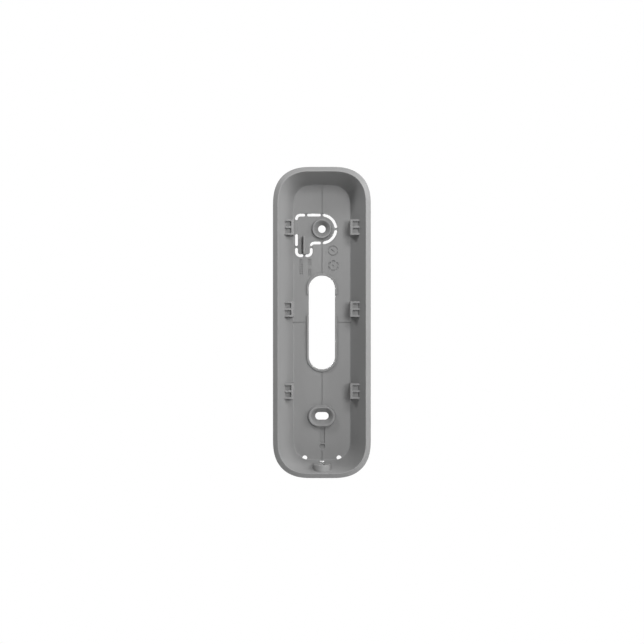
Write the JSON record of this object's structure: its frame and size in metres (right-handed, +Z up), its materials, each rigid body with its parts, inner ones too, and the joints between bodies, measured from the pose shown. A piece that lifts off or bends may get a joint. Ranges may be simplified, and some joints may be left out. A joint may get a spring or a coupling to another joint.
{
  "type": "video doorbell wall bracket",
  "caption": "Tall narrow wall-mount tray for a video doorbell, with wall-screw bosses, a cable slot, side catches and a break-away tamper plate.",
  "frame": {"origin": "the middle of the flat wall face, which is also the middle of the cable slot", "axes": "+X to the right as seen from the open front, +Y back towards the wall, +Z up along the length"},
  "size_m": [0.0474, 0.018, 0.1506],
  "materials": {
    "moulding": "matt, very finely textured",
    "tamper_moulding": "matt, very finely textured"
  },
  "bodies": {
    "housing": {"back_plate": "moulding", "side_wall": "moulding", "cable_slot_lip": "moulding", "lower_screw_boss": "moulding", "lock_screw_boss": "moulding", "left_upper_catch": "moulding", "left_middle_catch": "moulding", "left_lower_catch": "moulding", "right_upper_catch": "moulding", "right_middle_catch": "moulding", "right_lower_catch": "moulding", "break_webs": "moulding"},
    "tamper_plate_body": {"tamper_plate": "tamper_moulding", "upper_screw_boss": "tamper_moulding", "tamper_fin": "tamper_moulding"}
  },
  "joints": [
    {"name": "tamper_release", "type": "slide", "parent": "housing", "child": "tamper_plate_body", "axis": [0, 1, 0], "range_m": [0, 0.02]}
  ]
}
